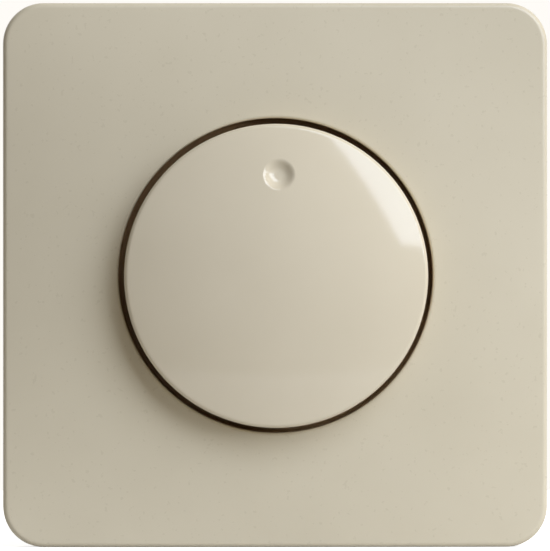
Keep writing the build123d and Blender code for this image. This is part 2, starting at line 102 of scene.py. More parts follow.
class CoverSizes(bpy.types.PropertyGroup):
    """Sizes of the cover plate"""

    width: size("Width", "Side of the square plate", COVER_HIGH.x - COVER_LOW.x)
    corner: size("Corner", "Radius of the plate's corners", 6 * MM)
    top: size("Top", "Height that the front would have in the plate's middle", 11.3 * MM)
    pillow: size("Pillow", "How far the front falls from its middle to a side", 4 * MM)
    square: FloatProperty(
        name="Square",
        description="How level the plate's edge is: 1 keeps the corners as high as the sides",
        default=0.85,
    )
    edge: size("Edge", "Rounding between front and sides", 0.8 * MM)
    wall: size("Wall", "Thickness of the shell", 2.2 * MM)
    well: size("Well", "Radius of the round well", 23.1 * MM)
    lip: size("Lip", "Rounding of the well's mouth", 0.4 * MM)
    well_wall: size("Well Wall", "Thickness of the well's wall", 1.6 * MM)
    floor_front: size("Floor Front", "Height of the well's floor", 4.8 * MM)
    floor_back: size("Floor Back", "Height of the floor's back", 3.2 * MM)
    bore: size("Bore", "Radius of the hole for the bushing", 5.2 * MM)
    chamfer: size("Chamfer", "Broken edge round the well's floor", 0.3 * MM)
    rib: size("Rib", "Thickness of a rib", 1.2 * MM)
    stop: size("Stop", "Distance of the ribs that centre the frame from the middle", 19 * MM)
    stop_play: size("Stop Play", "Gap between those ribs and the frame", 0.2 * MM)
    # Painted shade: the well is painted warm brown below this height, standing for its shadow.
    gap_shade_line: size("Dust Line", "Height up to which the well is shade_painted", 9.7 * MM)
    side_steps: IntProperty(
        name="Side Steps", description="Faces along a straight side", default=40
    )
    corner_steps: IntProperty(
        name="Corner Steps", description="Faces round a corner", default=16
    )


class KnobSizes(bpy.types.PropertyGroup):
    """Sizes of the knob"""

    radius: size("Radius", "Radius of the knob", (KNOB_HIGH.x - KNOB_LOW.x) / 2)
    top: size("Top", "Height of the dome above the wall", -KNOB_LOW.y)
    back: size("Back", "Height of the knob's open back", -KNOB_HIGH.y)
    dome: size("Dome", "Radius of the domed front", 70 * MM)
    edge: size("Edge", "Rounding between dome and side", 0.8 * MM)
    wall: size("Wall", "Thickness of the shell", 2 * MM)
    boss: size("Boss", "Radius of the boss that grips the shaft", 5 * MM)
    boss_back: size("Boss Back", "Height of the boss's open end", 9.8 * MM)
    socket: size("Socket", "Radius of the socket for the shaft", 3.05 * MM)
    socket_flat: size("Socket Flat", "Distance of the socket's flat from the axis", 1.55 * MM)
    socket_top: size("Socket Top", "Height of the socket's end", 14.6 * MM)
    mark: size("Mark", "Radius of the pressed-in pointer mark", 2.15 * MM)
    mark_depth: size("Mark Depth", "Depth of the pointer mark", 0.9 * MM)
    mark_lip: size("Mark Lip", "How far the mark's rounded rim reaches outside it", 0.3 * MM)
    mark_steep: FloatProperty(
        name="Mark Steep",
        description="How near to the rim the mark's wall is steepest",
        default=1.6,
    )
    mark_orbit: size("Mark Orbit", "Distance of the mark from the axis", 14.9 * MM)
    mark_turn: FloatProperty(
        name="Mark Turn",
        description="Clockwise turn of the mark from straight up",
        default=radians(1.4),
        subtype="ANGLE",
    )
    rib: size("Rib", "Thickness of a rib", 1 * MM)
    rib_back: size("Rib Back", "Height of the ribs' free edge", 10.6 * MM)
    rib_front: size("Rib Front", "Height at which the ribs end in the dome", 12.9 * MM)
    chamfer: size("Chamfer", "Broken edge of the open back", 0.3 * MM)
    # Painted shade: the knob's side is painted warm brown below this height, where the gap shades
    # it.
    gap_shade_line: size("Dust Line", "Height up to which the side is shade_painted", 9.9 * MM)
    steps: IntProperty(name="Steps", description="Faces round the knob", default=224)


class Colours(bpy.types.PropertyGroup):
    """Colours of the finishes"""

    cover: tint("Cover", "Cream thermoplastic of the cover", "#D1C7AF")
    knob: tint("Knob", "Cream thermoplastic of the knob", "#D9CEB6")
    # Painted shade: the warm brown painted into the gap round the knob, standing for its shadow.
    dust_and_shade: tint("Shade", "Brown dust in the gap round the knob", "#C0925A")
    housing: tint("Housing", "Grey polycarbonate of the insert", "#A9AAA6")
    block: tint("Block", "Black polyamide of the terminals and switch", "#2B2B2D")
    acetal: tint("Acetal", "White acetal of the sliding pieces", "#E9E7E0")
    trimmer: tint("Trimmer", "Blue case of the trimmer", "#2C4F9E")
    capacitor: tint("Capacitor", "Yellow cases of the capacitors", "#D9A429")
    floor: tint("Floor", "Pale floor", "#DCDAD6")
    key: tint("Key", "Cool daylight tube behind the softbox", "#EAF2FF")
    backdrop: tint("Backdrop", "Warm white wall that the camera sees", "#FFFCF7")
    room: tint("Room", "Warm light that the room throws back", "#FFEBC9")


class StageSettings(bpy.types.PropertyGroup):
    """Camera and light"""

    distance: size("Distance", "From the camera to the plate", 2.3)
    turn: FloatProperty(
        name="Turn",
        description="How far the camera stands to the left",
        default=radians(1.2),
        subtype="ANGLE",
    )
    rise: FloatProperty(
        name="Rise",
        description="How far the camera stands above",
        default=radians(1.0),
        subtype="ANGLE",
    )
    aim: size("Aim", "How far left of the plate's middle the camera points", 0.1 * MM)
    field: size("Field", "Width of the view at the plate", 80.76 * MM)
    key: FloatProperty(name="Key", description="Brightness of the softbox", default=6.6)
    key_distance: size("Key Distance", "From the softbox to the plate", 0.7)
    key_near: FloatProperty(name="Key Near", description="Slope of the near edge", default=0.62)
    key_far: FloatProperty(name="Key Far", description="Slope of the far edge", default=2.2)
    key_low: FloatProperty(name="Key Low", description="Slope of the lower edge", default=0.135)
    key_tall: FloatProperty(name="Key Tall", description="Length of the near edge", default=1.4)
    key_lean: FloatProperty(
        name="Key Lean",
        description="Turn of the softbox about the plate's axis",
        default=radians(31.0),
        subtype="ANGLE",
    )
    floor_front: size("Floor Front", "How far the floor reaches out in front of the wall", 70 * MM)
    floor_reach: size("Floor Reach", "How far the floor reaches behind and to each side", 260 * MM)
    floor_glow: FloatProperty(
        name="Floor Glow",
        description="Brightness added to the floor where it is seen, so that it stays pale",
        default=0.7,
    )
    dark_side: FloatProperty(
        name="Dark Side", description="Room's light from the lower left", default=0.12
    )
    light_side: FloatProperty(
        name="Light Side", description="Room's light from the upper right", default=1.0
    )
    rear: FloatProperty(name="Rear", description="Room's light from behind", default=0.9)
    side_fade: FloatProperty(
        name="Side Fade",
        description="How soon the room darkens away from its light side",
        default=5.0,
    )


# Meshes


def skin(bm, rings, closed=False):
    """Skins rings of points, as many in each: one spoke is spun, then its points are set."""
    spoke = [bm.verts.new((i + 1.0, 0.0, 0.0)) for i in range(len(rings))]
    edges = [bm.edges.new(pair) for pair in zip(spoke, spoke[1:])]
    if closed:
        edges.append(bm.edges.new((spoke[-1], spoke[0])))
    count = len(rings[0])
    step = 2 * pi / count
    bmesh.ops.spin(
        bm,
        geom=spoke + edges,
        cent=(0, 0, 0),
        axis=(0, 0, 1),
        angle=2 * pi,
        steps=count,
        use_merge=True,
    )
    for vert in bm.verts:
        ring = round(hypot(vert.co.x, vert.co.y)) - 1
        vert.co = rings[ring][round(atan2(vert.co.y, vert.co.x) / step) % count]
    bmesh.ops.remove_doubles(bm, verts=bm.verts, dist=0.001 * MM)
    bmesh.ops.recalc_face_normals(bm, faces=bm.faces)


def add_block(bm, low, high, turn=0.0):
    """Adds a box given by two corners, turned about the Z axis."""
    made = bmesh.ops.create_cube(bm, size=1.0)["verts"]
    middle = (Vector(low) + Vector(high)) / 2
    bmesh.ops.scale(bm, vec=Vector(high) - Vector(low), verts=made)
    bmesh.ops.translate(bm, vec=middle, verts=made)
    bmesh.ops.rotate(bm, cent=(0, 0, 0), matrix=Matrix.Rotation(turn, 3, "Z"), verts=made)
    return made


def add_rib(bm, low, high, turn, sizes):
    """Adds a rib whose top ends inside the cover's shell."""
    made = add_block(bm, low, (*high, low[2] + sizes.wall), turn)
    for vert in made:
        if vert.co.z > low[2] + sizes.wall / 2:
            vert.co = on_pillow(vert.co, sizes, sizes.wall / 2)


def piece(name, bm, body, slot, material, *nodes):
    """Stands a finished mesh in the frame, on its body and in the place of the named nodes."""
    bmesh.ops.transform(bm, matrix=STAND, verts=bm.verts)
    mesh = bpy.data.meshes.new(name)
    bm.to_mesh(mesh)
    bm.free()
    mesh.shade_smooth()
    mesh.set_sharp_from_angle(angle=radians(32))
    mesh.materials.append(material)
    made = bpy.data.objects.new(name, mesh)
    bpy.context.scene.collection.objects.link(made)
    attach(made, body)
    if nodes:
        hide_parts(*nodes)
    return made


def copy_of(node):
    """The mesh of a CAD node, back on the bench, with its loose triangles made flat faces."""
    bm = bmesh.new()
    bm.from_mesh(frame["nodes"][node].data)
    bmesh.ops.transform(bm, matrix=frame["nodes"][node].matrix_world, verts=bm.verts)
    bmesh.ops.remove_doubles(bm, verts=bm.verts, dist=0.002 * MM)
    bmesh.ops.join_triangles(
        bm,
        faces=bm.faces,
        angle_face_threshold=radians(1.0),
        angle_shape_threshold=radians(180),
    )
    bmesh.ops.transform(bm, matrix=STAND.inverted(), verts=bm.verts)
    return bm


def softened_piece(node, name, material, width, bm=None):
    """Puts a copy of a CAD node, or a mesh made from one, in its place, with its sharp edges
    rounded as the mould, the press or the plating barrel left them."""
    made = piece(name, bm or copy_of(node), BODY_OF[node], SLOT_OF[node], material, node)
    rounding = made.modifiers.new("rounding", "BEVEL")
    rounding.width = width
    rounding.segments = 2
    rounding.limit_method = "ANGLE"
    rounding.angle_limit = radians(38)
    rounding.miter_outer = "MITER_ARC"
    rounding.use_clamp_overlap = True
    rounding.harden_normals = True


def threaded_screw(node, name, material, foot, length, crest, pitch):
    """Cuts a CAD screw's plain shank down to the root of its thread, and adds the thread as
    a closed ridge that climbs round it, sunk a little into the shank."""
    root = crest - 0.55 * pitch
    sunk = root - 0.1 * MM
    bm = copy_of(node)
    for vert in bm.verts:
        across = (vert.co - foot).xy
        if vert.co.z < foot.z + length and 0.5 * crest < across.length < 1.1 * crest:
            vert.co.xy = foot.xy + across * (root / across.length)
    softened_piece(node, name, material, 0.1 * MM, bm)

    steps = 24
    turns = int(length / pitch) - 1
    bm = bmesh.new()
    profile = ((sunk, 0.0), (crest, 0.5 * pitch), (sunk, 0.96 * pitch))
    verts = [bm.verts.new((radius, 0.0, height)) for radius, height in profile]
    edges = [bm.edges.new((verts[i], verts[i - 1])) for i in range(3)]
    bmesh.ops.spin(
        bm,
        geom=verts + edges,
        cent=(0, 0, 0),
        axis=(0, 0, 1),
        dvec=(0, 0, pitch / steps),
        angle=2 * pi * turns,
        steps=steps * turns,
    )
    bmesh.ops.holes_fill(bm, edges=[edge for edge in bm.edges if edge.is_boundary], sides=3)
    bmesh.ops.recalc_face_normals(bm, faces=bm.faces)
    bmesh.ops.translate(bm, vec=foot, verts=bm.verts)
    piece(f"{name}_thread", bm, BODY_OF[node], SLOT_OF[node], material)


def on_ball(point, radius, top):
    """Puts a flat point on a ball whose highest point is at the given height."""
    rise = sqrt(radius**2 - point.x**2 - point.y**2)
    return Vector((point.x, point.y, top - radius + rise))


def on_pillow(point, sizes, sink=0.0):
    """Puts a flat point on the plate's pillowed front, or on a copy sunk under it."""
    x, y = (2 * c / sizes.width for c in point.xy)
    fall = sizes.pillow * (x * x + y * y - sizes.square * x * x * y * y)
    return Vector((point.x, point.y, sizes.top - sink - fall))


def pillow_way(point, sizes):
    """Direction in which the pillowed front faces at a flat point."""
    x, y = (2 * c / sizes.width for c in point.xy)
    steep = 4 * sizes.pillow / sizes.width
    slope_x = steep * x * (1 - sizes.square * y * y)
    slope_y = steep * y * (1 - sizes.square * x * x)
    return Vector((slope_x, slope_y, 1.0)).normalized()


def under_pillow(point, sizes, radius):
    """Middle of a ball that touches the front from below, over a flat point, and its way out."""
    way = pillow_way(point, sizes)
    for attempt in range(4):
        touch = point + way * radius
        way = pillow_way(touch, sizes)
    return on_pillow(touch, sizes) - way * radius, way


def round_over(middle, start, end, radius, steps):
    """Points of an arc about a middle, from one unit direction to another."""
    spread = start.angle(end)
    points = []
    for i in range(steps + 1):
        share = i / steps
        way = start * sin((1 - share) * spread) + end * sin(share * spread)
        points.append(middle + way * radius / sin(spread))
    return points


def circle(radius, angles, height):
    """A ring of points."""
    return [Vector((radius * cos(a), radius * sin(a), height)) for a in angles]


def plate_outline(sizes):
    """Corner centre or side point, outward direction and spoke angle, round the plate."""
    flat = sizes.width / 2 - sizes.corner
    side, bend = sizes.side_steps, sizes.corner_steps
    step = pi / 2 / (side + bend)
    feet = []
    for quarter in range(4):
        turn = Matrix.Rotation(quarter * pi / 2, 3, "Z")
        for i in range(side + bend):
            along = min(i / side, 1.0)
            lean = max(i - side, 0) / bend * pi / 2
            foot = turn @ Vector((flat, flat * (2 * along - 1), 0))
            out = turn @ Vector((cos(lean), sin(lean), 0))
            feet.append((foot, out, quarter * pi / 2 - pi / 4 + (i + bend / 2) * step))
    return feet


def plate_ring(feet, reach, height):
    """The plate's outline at a distance outside its corner centres."""
    return [Vector((*(foot + out * reach).xy, height)) for foot, out, angle in feet]


def blend_rings(first, last, shares, place):
    """Rings between two rings, each point set by a function."""
    rings = []
    for share in shares:
        rings.append([place(a.lerp(b, share)) for a, b in zip(first, last)])
    return rings


# Materials

# A Wave texture's Scale times the distance between its bands.
WAVE_STEP = 0.314


def add(tree, kind, inputs, **settings):
    """Adds a node with its settings, and sets or links its inputs."""
    node = tree.nodes.new(kind)
    for name, value in settings.items():
        setattr(node, name, value)
    for key, value in inputs.items():
        socket = node.inputs[key]
        if isinstance(value, bpy.types.NodeSocket):
            tree.links.new(value, socket)
        elif socket.type == "RGBA":
            socket.default_value = [*value, 1.0]
        else:
            socket.default_value = value
    return node


def mixed(shade, other, share):
    """A colour part of the way to another."""
    return [a + (b - a) * share for a, b in zip(shade, other)]


def start_material(name, **uniform):
    """A material with what is the same all over its surface, and its object coordinates."""
    material = bpy.data.materials.new(name)
    material.use_nodes = True
    tree = material.node_tree
    for socket, value in uniform.items():
        tree.nodes["Principled BSDF"].inputs[socket.replace("_", " ")].default_value = value
    return material, tree, add(tree, "ShaderNodeTexCoord", {}).outputs["Object"]


def lay_finish(tree, shade, gloss, relief):
    """Lays a finish that follows three patterns: a colour between two shades, a roughness
    between two values, and a relief with its depth. Noise seldom leaves 0.3 to 0.7, so that
    span is spread over the roughness."""
    shader = tree.nodes["Principled BSDF"]
    pattern, first, second = shade
    mix = add(tree, "ShaderNodeMix", {0: pattern, 6: first, 7: second}, data_type="RGBA")
    tree.links.new(mix.outputs[2], shader.inputs["Base Color"])
    pattern, low, high = gloss
    inputs = {"Value": pattern, "From Min": 0.3, "From Max": 0.7, "To Min": low, "To Max": high}
    rough = add(tree, "ShaderNodeMapRange", inputs)
    tree.links.new(rough.outputs["Result"], shader.inputs["Roughness"])
    pattern, depth = relief
    bump = add(tree, "ShaderNodeBump", {"Height": pattern, "Distance": depth, "Strength": 1.0})
    tree.links.new(bump.outputs["Normal"], shader.inputs["Normal"])


def moulded_plastic(name, shade, roughness, grain, depth):
    """Injection-moulded plastic: even colour with faint flow mottling, and a skin that
    copies the mould's texture as a fine ripple. Grain and depth are in mm."""
    material, tree, place = start_material(name, IOR=1.5)
    inputs = {"Vector": place, "Scale": 1 / (14 * MM), "Detail": 3.0}
    flow = add(tree, "ShaderNodeTexNoise", inputs).outputs["Fac"]
    inputs = {"Vector": place, "Scale": 1 / (grain * MM)}
    ripple = add(tree, "ShaderNodeTexNoise", inputs).outputs["Fac"]
    lay_finish(
        tree,
        shade=(flow, mixed(shade, (0, 0, 0), 0.06), mixed(shade, (1, 1, 1), 0.03)),
        gloss=(ripple, roughness * 0.9, roughness * 1.1),
        relief=(ripple, depth * MM),
    )
    return material


def hot_dip_zinc(name, shade, dull):
    """Galvanised sheet: zinc crystals, each with its own grey and gloss, that meet in sharp
    feathered edges. Real spangle is 2 to 10 mm across, so it is drawn at 3.5 mm."""
    material, tree, place = start_material(name, Metallic=1.0)
    inputs = {"Vector": place, "Scale": 1 / (3.5 * MM)}
    crystal = add(tree, "ShaderNodeTexVoronoi", inputs, distance="MINKOWSKI").outputs["Color"]
    tone = add(tree, "ShaderNodeSeparateColor", {"Color": crystal}).outputs
    grit = add(tree, "ShaderNodeTexNoise", {"Vector": place, "Scale": 1 / (0.5 * MM)})
    lay_finish(
        tree,
        shade=(tone["Red"], dull, shade),
        gloss=(tone["Green"], 0.28, 0.46),
        relief=(grit.outputs["Fac"], 0.006 * MM),
    )
    return material


def bright_zinc(name, shade, dull):
    """Zinc plate with a clear chromate: bright metal that turns bluish and straw in patches,
    with small dents from the barrel it was plated in."""
    material, tree, place = start_material(name, Metallic=1.0)
    inputs = {"Vector": place, "Scale": 1 / (2.2 * MM), "Detail": 3.0}
    patches = add(tree, "ShaderNodeTexNoise", inputs).outputs["Fac"]
    inputs = {"Vector": place, "Scale": 1 / (0.9 * MM)}
    dents = add(tree, "ShaderNodeTexNoise", inputs).outputs["Fac"]
    lay_finish(tree, (patches, dull, shade), (dents, 0.2, 0.3), (dents, 0.004 * MM))
    return material


def drawn_metal(name, shade, dull, roughness, axis, spacing):
    """Drawn, rolled or extruded metal: fine lines along the way that it was pulled, closer
    together than the given spacing in mm, and a slow change from dull to bright."""
    material, tree, place = start_material(name, Metallic=1.0)
    squeeze = [0.03 if letter == axis else 1.0 for letter in "XYZ"]
    pulled = add(tree, "ShaderNodeMapping", {"Vector": place, "Scale": squeeze}).outputs[0]
    inputs = {"Vector": pulled, "Scale": 1 / (spacing * MM), "Detail": 3.0}
    streaks = add(tree, "ShaderNodeTexNoise", inputs).outputs["Fac"]
    inputs = {"Vector": place, "Scale": 1 / (4 * MM)}
    patches = add(tree, "ShaderNodeTexNoise", inputs).outputs["Fac"]
    lay_finish(
        tree,
        shade=(patches, dull, shade),
        gloss=(streaks, roughness * 0.75, roughness * 1.3),
        relief=(streaks, 0.01 * MM),
    )
    return material


def turned_brass(name, shade, dull):
    """Brass off the lathe: the tool's feed leaves fine rings 0.15 mm apart, drawn at twice
    that, and fingers leave darker patches."""
    material, tree, place = start_material(name, Metallic=1.0)
    inputs = {"Vector": place, "Scale": WAVE_STEP / (0.314 * MM), "Distortion": 0.5}
    rings = add(tree, "ShaderNodeTexWave", inputs, bands_direction="Y").outputs["Fac"]
    inputs = {"Vector": place, "Scale": 1 / (3 * MM), "Detail": 3.0}
    patches = add(tree, "ShaderNodeTexNoise", inputs).outputs["Fac"]
    lay_finish(tree, (patches, dull, shade), (rings, 0.2, 0.34), (rings, 0.012 * MM))
    return material


def wound_copper(name, shade, dull):
    """Enamelled copper wire: turns 0.6 mm apart side by side, each rounded, with painted shade
    as a darker line where two touch, and the enamel's clear gloss over them."""
    material, tree, place = start_material(
        name, Metallic=1.0, Coat_Weight=0.6, Coat_Roughness=0.12
    )
    inputs = {"Vector": place, "Scale": WAVE_STEP / (0.6 * MM), "Distortion": 0.6, "Detail": 1.0}
    # The bands are painted shade: each turn fades to the dull colour in the groove where two
    # touch.
    turns = add(tree, "ShaderNodeTexWave", inputs, bands_direction="DIAGONAL").outputs["Fac"]
    inputs = {"Vector": place, "Scale": 1 / (1 * MM)}
    smears = add(tree, "ShaderNodeTexNoise", inputs).outputs["Fac"]
    lay_finish(tree, (turns, dull, shade), (smears, 0.2, 0.3), (turns, 0.12 * MM))
    return material


def phenolic_paper(name, shade, dull):
    """Pressed phenolic and paper: brown resin with short pale fibres lying in the sheet, as
    threads 0.5 mm across, a few times their real size."""
    material, tree, place = start_material(name)
    inputs = {"Vector": place, "Scale": (0.3, 1.0, 1.0)}
    sheet = add(tree, "ShaderNodeMapping", inputs).outputs[0]
    inputs = {"Vector": sheet, "Scale": 1 / (0.5 * MM), "Detail": 4.0}
    fibres = add(tree, "ShaderNodeTexNoise", inputs).outputs["Fac"]
    lay_finish(tree, (fibres, dull, shade), (fibres, 0.4, 0.6), (fibres, 0.01 * MM))
    return material


def speckled(name, shade, other, grit, roughness, depth):
    """Pressed or filled compound: two kinds of grain, close together, with a dry surface.
    Grit and depth are in mm, and the grit is drawn several times its real size."""
    material, tree, place = start_material(name)
    grains = add(tree, "ShaderNodeTexVoronoi", {"Vector": place, "Scale": 1 / (grit * MM)})
    tone = add(tree, "ShaderNodeSeparateColor", {"Color": grains.outputs["Color"]}).outputs
    lay_finish(
        tree,
        shade=(tone["Red"], shade, other),
        gloss=(tone["Green"], roughness * 0.85, roughness * 1.15),
        relief=(grains.outputs["Distance"], depth * MM),
    )
    return material


def solder_mask(name, shade, copper):
    """Glass laminate under green solder mask: the weave, 0.5 mm from thread to thread, shows
    as a faint check, and wide tracks under the mask look lighter and stand a little higher."""
    material, tree, place = start_material(name, Coat_Weight=0.3)
    inputs = {"Vector": place, "Scale": WAVE_STEP / (0.5 * MM)}
    warp = add(tree, "ShaderNodeTexWave", inputs, bands_direction="X").outputs["Fac"]
    weft = add(tree, "ShaderNodeTexWave", inputs, bands_direction="Z").outputs["Fac"]
    weave = add(tree, "ShaderNodeMath", {0: warp, 1: weft}, operation="MULTIPLY").outputs[0]
    inputs = {"Vector": place, "Rotation": (pi / 2, 0, 0)}
    board = add(tree, "ShaderNodeMapping", inputs).outputs[0]
    inputs = {
        "Vector": board,
        "Scale": 1 / (6 * MM),
        "Mortar Size": 0.06,
        "Brick Width": 1.7,
        "Row Height": 0.6,
        "Mortar Smooth": 0.1,
    }
    tracks = add(tree, "ShaderNodeTexBrick", inputs).outputs["Fac"]
    lay_finish(
        tree,
        shade=(tracks, mixed(shade, copper, 0.18), mixed(shade, (0, 0, 0), 0.25)),
        gloss=(weave, 0.25, 0.4),
        relief=(tracks, -0.035 * MM),
    )
    return material


def banded_lacquer(name, shade, rings):
    """Film resistor: lumpy dipped lacquer with painted rings. Each ring is a colour, and the
    place of its middle and half its width in mm on the crosswise axis."""
    material, tree, place = start_material(name)
    along = add(tree, "ShaderNodeSeparateXYZ", {"Vector": place}).outputs["X"]
    masks = []
    for paint, middle, half in rings:
        inputs = {0: along, 1: middle * MM, 2: half * MM}
        masks.append(add(tree, "ShaderNodeMath", inputs, operation="COMPARE").outputs[0])
    for mask, (paint, middle, half) in zip(masks[:-1], rings):
        inputs = {0: mask, 6: shade, 7: paint}
        shade = add(tree, "ShaderNodeMix", inputs, data_type="RGBA").outputs[2]
    inputs = {"Vector": place, "Scale": 1 / (0.8 * MM)}
    lumps = add(tree, "ShaderNodeTexNoise", inputs).outputs["Fac"]
    last = (masks[-1], shade, rings[-1][0])
    lay_finish(tree, last, (lumps, 0.3, 0.42), (lumps, 0.03 * MM))
    return material


def capped_ceramic(name, glaze, metal, middle, half):
    """Ceramic fuse tube with nickelled caps: glazed between the caps, plain metal outside a
    half length about a middle, both along the crosswise axis."""
    material, tree, place = start_material(name)
    along = add(tree, "ShaderNodeSeparateXYZ", {"Vector": place}).outputs["X"]
    inputs = {0: along, 1: middle, 2: half}
    tube = add(tree, "ShaderNodeMath", inputs, operation="COMPARE").outputs[0]
    cap = add(tree, "ShaderNodeMath", {0: 1.0, 1: tube}, operation="SUBTRACT").outputs[0]
    tree.links.new(cap, tree.nodes["Principled BSDF"].inputs["Metallic"])
    inputs = {"Vector": place, "Scale": 1 / (0.6 * MM), "Detail": 3.0}
    dust_and_shade = add(tree, "ShaderNodeTexNoise", inputs).outputs["Fac"]
    lay_finish(tree, (tube, metal, glaze), (dust_and_shade, 0.22, 0.36), (dust_and_shade, 0.006 * MM))
    return material


def paint_gap_shade(material, dust_and_shade, reach, height):
    """Painted shade in the gap round the knob: warm brown, none at the well's mouth and at its
    fullest from 1.5 mm further in. It lies within a reach of the axis, below a height above the
    wall."""
    tree = material.node_tree
    place = add(tree, "ShaderNodeTexCoord", {}).outputs["Object"]
    across = add(tree, "ShaderNodeVectorMath", {0: place, 1: (1, 0, 1)}, operation="MULTIPLY")
    radius = add(tree, "ShaderNodeVectorMath", {0: across.outputs[0]}, operation="LENGTH")
    inputs = {0: radius.outputs["Value"], 1: reach}
    near = add(tree, "ShaderNodeMath", inputs, operation="LESS_THAN").outputs[0]
    depth = add(tree, "ShaderNodeSeparateXYZ", {"Vector": place}).outputs["Y"]
    inputs = {"Value": depth, "From Min": -height, "From Max": 1.5 * MM - height, "To Max": 0.8}
    # Painted shade deepens from nothing at the given height to its fullest 1.5 mm further in.
    gap_shade_amount = add(tree, "ShaderNodeMapRange", inputs).outputs["Result"]
    share = add(tree, "ShaderNodeMath", {0: near, 1: gap_shade_amount}, operation="MULTIPLY").outputs[0]
    base = tree.nodes["Principled BSDF"].inputs["Base Color"]
    inputs = {0: share, 6: base.links[0].from_socket, 7: dust_and_shade}
    mix = add(tree, "ShaderNodeMix", inputs, data_type="RGBA")
    tree.links.new(mix.outputs[2], base)


def dress(material, *nodes):
    """Gives a finish to CAD nodes."""
    for node in nodes:
        for holder in frame["nodes"][node].material_slots:
            holder.material = material


def in_slot(slot):
    """The CAD nodes that the record puts in a material slot."""
    return [node for node, name in SLOT_OF.items() if name == slot]


# Pieces


def make_cover_plate(sizes, material):
    """One closed skin: wall rim, sides, front, well, floor and the hollow back, with ribs."""
    feet = plate_outline(sizes)
    angles = [angle for foot, out, angle in feet]
    half = sizes.width / 2

    def front(point):
        return on_pillow(point, sizes)

    def under(point):
        return on_pillow(point, sizes, sizes.wall)

    reach = sizes.corner
    broken = 0.25 * MM
    rings = [plate_ring(feet, reach - broken, 0.0), plate_ring(feet, reach, broken)]
    arcs = []
    for foot, out, angle in feet:
        middle, way = under_pillow(foot + out * (reach - sizes.edge), sizes, sizes.edge)
        arcs.append(round_over(middle, out, way, sizes.edge, 8))
    sides = [arc[0] for arc in arcs]
    rings += blend_rings(rings[-1], sides, (0.35, 0.97), lambda point: point)
    rings += [[arc[i] for arc in arcs] for i in range(9)]

    mouths = []
    for angle in angles:
        way = Vector((cos(angle), sin(angle), 0))
        middle, up = under_pillow(way * (sizes.well + sizes.lip), sizes, sizes.lip)
        mouths.append(round_over(middle, up, -way, sizes.lip, 6))
    mouth = [arc[0] for arc in mouths]
    shares = [0.01] + [i / 14 for i in range(1, 14)] + [0.99]
    rings += blend_rings(rings[-1], mouth, shares, front)
    rings += [[arc[i] for arc in mouths] for i in range(7)]

    rings.append(circle(sizes.well, angles, sizes.floor_front + sizes.chamfer))
    rings.append(circle(sizes.well - sizes.chamfer, angles, sizes.floor_front))
    rings.append(circle(sizes.well * 0.6, angles, sizes.floor_front))
    rings.append(circle(sizes.bore + 0.2 * MM, angles, sizes.floor_front))
    rings.append(circle(sizes.bore, angles, sizes.floor_front - 0.2 * MM))
    rings.append(circle(sizes.bore, angles, sizes.floor_back))
    outer = sizes.well + sizes.well_wall
    rings.append(circle(outer, angles, sizes.floor_back))
    ceiling = circle(outer, angles, 0.0)
    rings.append([under(point) for point in ceiling])
    inside = plate_ring(feet, reach - sizes.wall, 0.0)
    rings += blend_rings(ceiling, inside, (0.25, 0.5, 0.75, 1.0), under)
    rings.append(inside)

    bm = bmesh.new()
    skin(bm, rings, closed=True)
    bury = 0.5 * MM
    end = half - 2 * bury
    for quarter in range(4):
        turn = quarter * pi / 2
        low = (outer - bury, -sizes.rib / 2, sizes.floor_back + 0.8 * MM)
        add_rib(bm, low, (end, sizes.rib / 2), turn, sizes)
        for y in (-sizes.stop, sizes.stop):
            low = (SHEET_HIGH.x + sizes.stop_play, y - sizes.rib / 2, 0.4 * MM)
            add_rib(bm, low, (end, y + sizes.rib / 2), turn, sizes)
    piece("cover_shell", bm, "insert", SLOT_OF["cover_plate"], material, "cover_plate")


def mark_profile(distance, sizes):
    """Height of the front at a distance from the mark's middle: a bowl with a rounded rim."""
    share = min(distance / (sizes.mark + sizes.mark_lip), 1.0)
    return -sizes.mark_depth * (1 + cos(pi * share**sizes.mark_steep)) / 2


